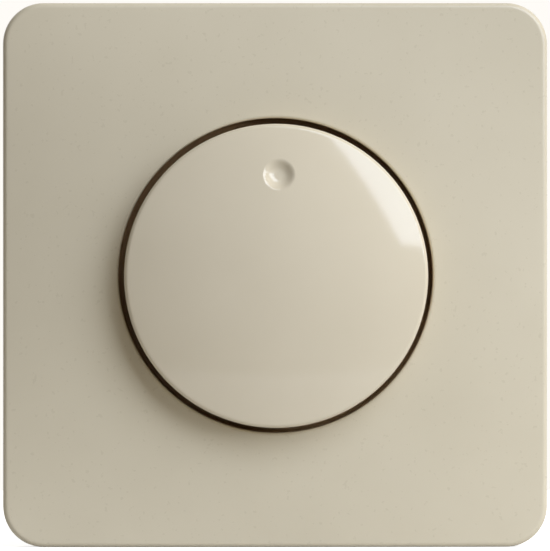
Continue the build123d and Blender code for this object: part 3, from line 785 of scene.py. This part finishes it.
def make_knob(sizes, material):
    """One closed skin: pointer mark, dome, rim, side, hollow back, boss and socket, with ribs."""
    steps = sizes.steps
    angles = [2 * pi * i / steps for i in range(steps)]
    ball = sizes.dome
    centre = Vector((0, 0, sizes.top - ball))
    lean = Matrix.Rotation(-asin(sizes.mark_orbit / ball), 3, "X")
    turn = Matrix.Rotation(-sizes.mark_turn, 3, "Z")

    # Shares of the mark's radius, closer together over its steep wall, and on past its lip.
    reaches = [i / 12 for i in range(9)] + [0.72 + 0.04 * i for i in range(19)]
    rings = []
    for reach in reaches:
        distance = reach * sizes.mark
        spread = distance / ball
        ring = []
        for a in angles:
            way = Vector((sin(spread) * cos(a), sin(spread) * sin(a), cos(spread)))
            out = ball + mark_profile(distance, sizes)
            ring.append(centre + turn @ lean @ way * out)
        rings.append(ring)

    arcs = []
    for a in angles:
        way = Vector((cos(a), sin(a), 0))
        foot = way * (sizes.radius - sizes.edge)
        middle = on_ball(foot, ball - sizes.edge, sizes.top - sizes.edge)
        arcs.append(round_over(middle, (middle - centre).normalized(), way, sizes.edge, 8))
    shares = [i / 18 for i in range(1, 18)] + [0.99]

    def front(point):
        return on_ball(point, ball, sizes.top)

    rings += blend_rings(rings[-1], [arc[0] for arc in arcs], shares, front)
    rings += [[arc[i] for arc in arcs] for i in range(9)]
    rings.append(circle(sizes.radius, angles, arcs[0][8].z - 0.1 * MM))
    rings.append(circle(sizes.radius, angles, sizes.back + sizes.chamfer))
    rings.append(circle(sizes.radius - sizes.chamfer, angles, sizes.back))
    inner = sizes.radius - sizes.wall
    rings.append(circle(inner, angles, sizes.back))

    def ceiling(point):
        return on_ball(point, ball - sizes.wall, sizes.top - sizes.wall)

    for radius in (inner, 15 * MM, 10 * MM, sizes.boss):
        rings.append([ceiling(point) for point in circle(radius, angles, 0.0)])
    rings.append(circle(sizes.boss, angles, sizes.boss_back))
    for height in (sizes.boss_back, sizes.socket_top):
        ring = circle(sizes.socket, angles, height)
        rings.append([Vector((p.x, max(p.y, -sizes.socket_flat), p.z)) for p in ring])
    rings.append([Vector((0, 0, sizes.socket_top))] * steps)

    bm = bmesh.new()
    skin(bm, rings)
    bury = 0.5 * MM
    for sixth in range(6):
        low = (sizes.boss - bury, -sizes.rib / 2, sizes.rib_back)
        high = (inner + bury, sizes.rib / 2, sizes.rib_front)
        add_block(bm, low, high, sixth * pi / 3)
    piece("knob_shell", bm, "knob", SLOT_OF["rotary_knob"], material, "rotary_knob")


def make_softbox(settings, shade):
    """A four-sided light whose near edge is seen in the knob. Its corners are slopes off the
    plate's axis: across and up for each step out of the wall."""
    lean = settings.key_lean
    foot_x = (settings.key_near - settings.key_low * sin(lean)) / cos(lean)
    foot = Vector((foot_x, settings.key_low))
    outward = Vector((cos(lean), sin(lean)))
    head = foot + Vector((-sin(lean), cos(lean))) * settings.key_tall
    far = settings.key_far - settings.key_near
    heel = Vector((settings.key_far * 1.1, settings.key_low))
    corners = [foot, head, head + outward * far, heel]
    middle = sum(corners, Vector((0, 0))) / 4
    facing = Vector((middle.x, -1, middle.y)).normalized()
    bm = bmesh.new()
    verts = []
    for corner in corners:
        way = Vector((corner.x, -1, corner.y))
        verts.append(bm.verts.new(way * settings.key_distance / way.dot(facing)))
    bm.faces.new(verts)
    mesh = bpy.data.meshes.new("softbox")
    bm.to_mesh(mesh)
    bm.free()
    material = bpy.data.materials.new("softbox_cloth")
    material.use_nodes = True
    tree = material.node_tree
    glow = add(tree, "ShaderNodeEmission", {"Color": shade, "Strength": settings.key})
    tree.links.new(glow.outputs[0], tree.nodes["Material Output"].inputs["Surface"])
    mesh.materials.append(material)
    softbox = bpy.data.objects.new("softbox", mesh)
    softbox.visible_camera = False
    bpy.context.scene.collection.objects.link(softbox)


def make_stage(settings, colours):
    """Camera, lights, world and floor."""
    scene = bpy.context.scene
    scene.view_settings.view_transform = "Standard"

    target = Vector((-settings.aim, COVER_LOW.y, 0))
    away = Vector((-sin(settings.turn), -cos(settings.turn), sin(settings.rise))).normalized()
    camera = bpy.data.objects.new("camera", bpy.data.cameras.new("camera"))
    camera.location = target + away * settings.distance
    camera.rotation_euler = (-away).to_track_quat("-Z", "Y").to_euler()
    camera.data.sensor_fit = "HORIZONTAL"
    camera.data.lens = camera.data.sensor_width * settings.distance / settings.field
    camera.data.clip_end = 20.0
    scene.collection.objects.link(camera)
    scene.camera = camera

    make_softbox(settings, colours.key)

    world = bpy.data.worlds.new("studio")
    scene.world = world
    world.use_nodes = True
    tree = world.node_tree
    backdrop = add(tree, "ShaderNodeBackground", {"Color": colours.backdrop})
    room = tree.nodes["Background"]
    way = add(tree, "ShaderNodeTexCoord", {}).outputs["Generated"]
    towards = (cos(settings.key_lean), 0, sin(settings.key_lean))
    across = add(tree, "ShaderNodeVectorMath", {0: way, 1: towards}, operation="DOT_PRODUCT")
    inputs = {"Value": across.outputs["Value"], "From Min": -1.0, "From Max": 1.0}
    share = add(tree, "ShaderNodeMapRange", inputs).outputs["Result"]
    inputs = {0: share, 1: settings.side_fade}
    fade = add(tree, "ShaderNodeMath", inputs, operation="POWER").outputs[0]
    dark = [c * settings.dark_side for c in colours.room]
    light = [c * settings.light_side for c in colours.room]
    sides = add(tree, "ShaderNodeMix", {0: fade, 6: dark, 7: light}, data_type="RGBA")
    depth = add(tree, "ShaderNodeSeparateXYZ", {"Vector": way}).outputs["Y"]
    inputs = {"Value": depth, "From Min": 0.05, "From Max": 0.7}
    behind = add(tree, "ShaderNodeMapRange", inputs).outputs["Result"]
    inputs = {0: behind, 6: sides.outputs[2], 7: [settings.rear] * 3}
    shade = add(tree, "ShaderNodeMix", inputs, data_type="RGBA")
    tree.links.new(shade.outputs[2], room.inputs["Color"])
    path = add(tree, "ShaderNodeLightPath", {})
    mix = add(tree, "ShaderNodeMixShader", {0: path.outputs["Is Camera Ray"]})
    tree.links.new(room.outputs[0], mix.inputs[1])
    tree.links.new(backdrop.outputs[0], mix.inputs[2])
    tree.links.new(mix.outputs[0], tree.nodes["World Output"].inputs["Surface"])

    make_floor(settings, colours.floor)


def make_floor(settings, floor_colour):
    """A pale square, a hair under the foot of the plate so that their faces never meet. What
    it adds to its own brightness is only seen, and lights nothing."""
    bm = bmesh.new()
    reach, front = settings.floor_reach, settings.floor_front
    bmesh.ops.create_grid(bm, x_segments=1, y_segments=1, size=0.5)
    bmesh.ops.scale(bm, vec=(2 * reach, reach + front, 1), verts=bm.verts)
    bmesh.ops.translate(bm, vec=(0, (reach - front) / 2, COVER_LOW.z - 0.02 * MM), verts=bm.verts)
    mesh = bpy.data.meshes.new("floor")
    bm.to_mesh(mesh)
    bm.free()
    material = moulded_plastic("acrylic_floor", floor_colour, 0.6, 2.0, 0.01)
    tree = material.node_tree
    path = add(tree, "ShaderNodeLightPath", {})
    inputs = {0: path.outputs["Is Camera Ray"], 1: settings.floor_glow}
    seen = add(tree, "ShaderNodeMath", inputs, operation="MULTIPLY")
    shader = tree.nodes["Principled BSDF"]
    shader.inputs["Emission Color"].default_value = (1, 1, 1, 1)
    tree.links.new(seen.outputs[0], shader.inputs["Emission Strength"])
    mesh.materials.append(material)
    floor = bpy.data.objects.new("floor", mesh)
    bpy.context.scene.collection.objects.link(floor)


# Operators


class DIMMER_OT_cover(bpy.types.Operator):
    """Makes the cover plate"""

    bl_idname = "dimmer.cover"
    bl_label = "Cover Plate"

    def execute(self, context):
        tints = context.scene.dimmer_colours
        material = moulded_plastic("satin_cream_plastic", tints.cover, 0.3, 0.7, 0.004)
        sizes = context.scene.dimmer_cover
        # Paints warm shade into the well round the knob.
        paint_gap_shade(material, tints.dust_and_shade, sizes.well + sizes.lip, sizes.gap_shade_line)
        make_cover_plate(sizes, material)
        return {"FINISHED"}


class DIMMER_OT_knob(bpy.types.Operator):
    """Makes the knob"""

    bl_idname = "dimmer.knob"
    bl_label = "Knob"

    def execute(self, context):
        tints = context.scene.dimmer_colours
        material = moulded_plastic("gloss_cream_plastic", tints.knob, 0.09, 1.2, 0.002)
        sizes = context.scene.dimmer_knob
        # Paints warm shade onto the knob's side in the gap.
        paint_gap_shade(material, tints.dust_and_shade, sizes.radius + 0.1 * MM, sizes.gap_shade_line)
        make_knob(sizes, material)
        return {"FINISHED"}


class DIMMER_OT_plastics(bpy.types.Operator):
    """Finishes the moulded pieces behind the cover"""

    bl_idname = "dimmer.plastics"
    bl_label = "Plastic Finishes"

    def execute(self, context):
        tints = context.scene.dimmer_colours
        grey = moulded_plastic("grey_polycarbonate", tints.housing, 0.42, 0.35, 0.012)
        black = moulded_plastic("black_polyamide", tints.block, 0.38, 0.3, 0.01)
        white = moulded_plastic("white_acetal", tints.acetal, 0.34, 0.5, 0.005)
        blue = moulded_plastic("blue_polyester", tints.trimmer, 0.32, 0.4, 0.008)
        yellow = moulded_plastic("yellow_polyester", tints.capacitor, 0.3, 0.5, 0.01)
        brown = phenolic_paper("phenolic_paper", colour("#7A4A2A"), colour("#4A2A16"))
        dress(grey, *in_slot("grey_plastic"))
        dress(black, *in_slot("black_plastic"))
        dress(white, *in_slot("white_plastic"))
        dress(blue, *in_slot("trimmer_blue"))
        dress(yellow, *in_slot("capacitor_yellow"))
        dress(brown, *in_slot("phenolic"))
        return {"FINISHED"}


class DIMMER_OT_metals(bpy.types.Operator):
    """Finishes the frame, screws, springs and contacts"""

    bl_idname = "dimmer.metals"
    bl_label = "Metal Finishes"

    def execute(self, context):
        sheet = hot_dip_zinc("hot_dip_zinc", colour("#D3D7D9"), colour("#A7ACAE"))
        plated = bright_zinc("bright_zinc", colour("#DADCDB"), colour("#BDBFB4"))
        wire = colour("#8A8B8E"), colour("#5C5D60")
        spring = drawn_metal("oiled_spring_wire", *wire, 0.35, "Y", 0.2)
        brass = turned_brass("turned_brass", colour("#DDBE72"), colour("#B8934C"))
        bar = colour("#D9DBDD"), colour("#B9BBBE")
        sink = drawn_metal("extruded_aluminium", *bar, 0.36, "Y", 0.25)
        strip = colour("#D58F66"), colour("#A9653F")
        copper = drawn_metal("rolled_copper", *strip, 0.3, "X", 0.2)
        # The dull colour is painted shade for the grooves between turns.
        winding = wound_copper("enamelled_wire", colour("#C9733F"), colour("#6B3114"))
        dress(sheet, *in_slot("galvanised_steel"))
        dress(plated, *in_slot("zinc_steel"))
        dress(spring, *in_slot("spring_steel"))
        dress(brass, *in_slot("brass"))
        dress(sink, *in_slot("aluminium"))
        dress(copper, *in_slot("copper"))
        dress(winding, "choke_winding")
        return {"FINISHED"}


class DIMMER_OT_electronics(bpy.types.Operator):
    """Finishes the circuit board and the parts on it"""

    bl_idname = "dimmer.electronics"
    bl_label = "Electronic Finishes"

    def execute(self, context):
        board = solder_mask("green_solder_mask", colour("#1F6B3C"), colour("#B08040"))
        track = colour("#17171A"), colour("#2A2A2E")
        carbon = speckled("printed_carbon", *track, 0.12, 0.6, 0.01)
        body = colour("#232325"), colour("#333336")
        epoxy = speckled("filled_epoxy", *body, 0.15, 0.62, 0.01)
        powder = colour("#5E635C"), colour("#7E827A")
        core = speckled("pressed_iron_powder", *powder, 0.2, 0.7, 0.02)
        rings = (
            (colour("#7A3B12"), -1.7, 0.22),
            (colour("#151515"), -0.8, 0.22),
            (colour("#D9A21B"), 0.1, 0.22),
            (colour("#B8923A"), 1.7, 0.22),
        )
        lacquer = banded_lacquer("resistor_lacquer", colour("#CDB48C"), rings)
        low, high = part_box("fuse")
        tube = (low.x + high.x) / 2, (high.x - low.x) / 2 - 5 * MM
        ends = colour("#E6E2D8"), colour("#C9CACB")
        ceramic = capped_ceramic("glazed_ceramic", *ends, *tube)
        dress(board, *in_slot("circuit_board"))
        dress(carbon, *in_slot("carbon"))
        dress(epoxy, *in_slot("epoxy"))
        dress(core, *in_slot("ferrite"))
        dress(lacquer, *in_slot("resistor_beige"))
        dress(ceramic, *in_slot("ceramic"))
        return {"FINISHED"}


class DIMMER_OT_insert(bpy.types.Operator):
    """Makes the moulded shells of the insert"""

    bl_idname = "dimmer.insert"
    bl_label = "Insert Shells"

    def execute(self, context):
        shells = (
            ("rear_housing", "housing_shell", "grey_polycarbonate", 0.35 * MM),
            ("insert_lid", "lid_shell", "grey_polycarbonate", 0.25 * MM),
            ("terminal_block", "terminal_body", "black_polyamide", 0.25 * MM),
        )
        for node, name, material, width in shells:
            softened_piece(node, name, bpy.data.materials[material], width)
        return {"FINISHED"}


class DIMMER_OT_mounting(bpy.types.Operator):
    """Makes the pressed frame, the claws, their screws and their nuts"""

    bl_idname = "dimmer.mounting"
    bl_label = "Frame And Claws"

    def execute(self, context):
        sheet = bpy.data.materials["hot_dip_zinc"]
        plated = bpy.data.materials["bright_zinc"]
        softened_piece("support_frame", "pressed_frame", sheet, 0.12 * MM)
        for side in ("left", "right"):
            softened_piece(f"claw_{side}", f"pressed_claw_{side}", sheet, 0.18 * MM)
            softened_piece(f"wedge_nut_{side}", f"cut_nut_{side}", plated, 0.22 * MM)
            node = f"claw_screw_{side}"
            low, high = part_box(node)
            foot = Vector(((low.x + high.x) / 2, 0.0, -high.y))
            length = high.y - 1 * MM
            threaded_screw(node, f"slotted_screw_{side}", plated, foot, length, 1.5 * MM, 0.5 * MM)
        return {"FINISHED"}


class DIMMER_OT_stage(bpy.types.Operator):
    """Makes the camera, the lights and the floor"""

    bl_idname = "dimmer.stage"
    bl_label = "Stage"

    def execute(self, context):
        make_stage(context.scene.dimmer_stage, context.scene.dimmer_colours)
        return {"FINISHED"}


class DIMMER_PT_sidebar(bpy.types.Panel):
    """Lists what the add-on makes"""

    bl_idname = "DIMMER_PT_sidebar"
    bl_label = "Rotary Dimmer"
    bl_space_type = "VIEW_3D"
    bl_region_type = "UI"
    bl_category = "Dimmer"

    def draw(self, context):
        for operator in OPERATORS:
            self.layout.operator(operator.bl_idname)
        for name, group in GROUPS.items():
            settings = getattr(context.scene, name)
            for setting in group.__annotations__:
                self.layout.prop(settings, setting)


OPERATORS = (
    DIMMER_OT_stage,
    DIMMER_OT_plastics,
    DIMMER_OT_metals,
    DIMMER_OT_electronics,
    DIMMER_OT_insert,
    DIMMER_OT_mounting,
    DIMMER_OT_cover,
    DIMMER_OT_knob,
)
GROUPS = {
    "dimmer_cover": CoverSizes,
    "dimmer_knob": KnobSizes,
    "dimmer_colours": Colours,
    "dimmer_stage": StageSettings,
}


def register():
    for group in GROUPS.values():
        bpy.utils.register_class(group)
    for name, group in GROUPS.items():
        setattr(bpy.types.Scene, name, PointerProperty(type=group))
    for cls in (*OPERATORS, DIMMER_PT_sidebar):
        bpy.utils.register_class(cls)


def unregister():
    for cls in reversed((*OPERATORS, DIMMER_PT_sidebar)):
        bpy.utils.unregister_class(cls)
    for name in GROUPS:
        delattr(bpy.types.Scene, name)
    for group in reversed(GROUPS.values()):
        bpy.utils.unregister_class(group)


def main():
    register()
    for operator in OPERATORS:
        group, name = operator.bl_idname.split(".")
        getattr(getattr(bpy.ops, group), name)()


if __name__ == "__main__":
    main()
